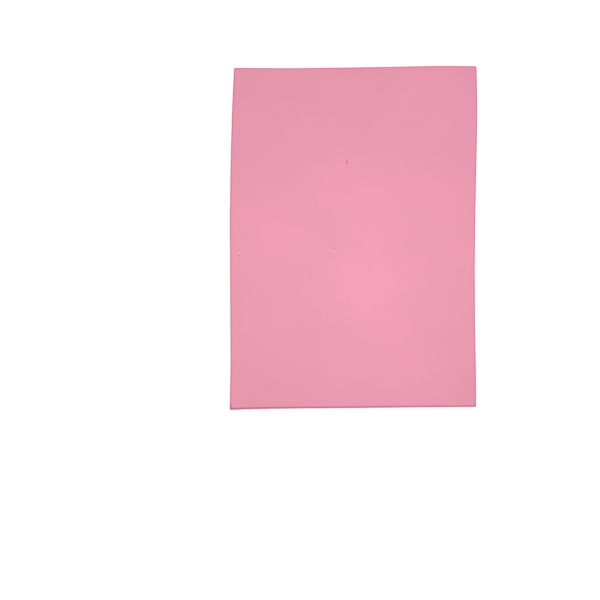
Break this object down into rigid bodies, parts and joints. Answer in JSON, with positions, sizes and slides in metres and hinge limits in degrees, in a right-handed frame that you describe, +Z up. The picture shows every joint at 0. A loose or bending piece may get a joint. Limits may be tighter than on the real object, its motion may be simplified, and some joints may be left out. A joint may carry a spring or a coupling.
{
  "type": "craft foam sheet",
  "caption": "Thin flat rectangular sheet of soft closed-cell foam for cutting, gluing and craft work, lying flat.",
  "frame": {"origin": "middle of the underside, on the surface that the sheet lies on", "axes": "+X across the sheet's short side, +Y along its long side, +Z up through its thickness, out of the upper face"},
  "size_m": [0.21, 0.297, 0.002],
  "materials": {
    "pink_foam": "matte"
  },
  "bodies": {
    "root": {"foam_sheet": "pink_foam"}
  },
  "joints": []
}
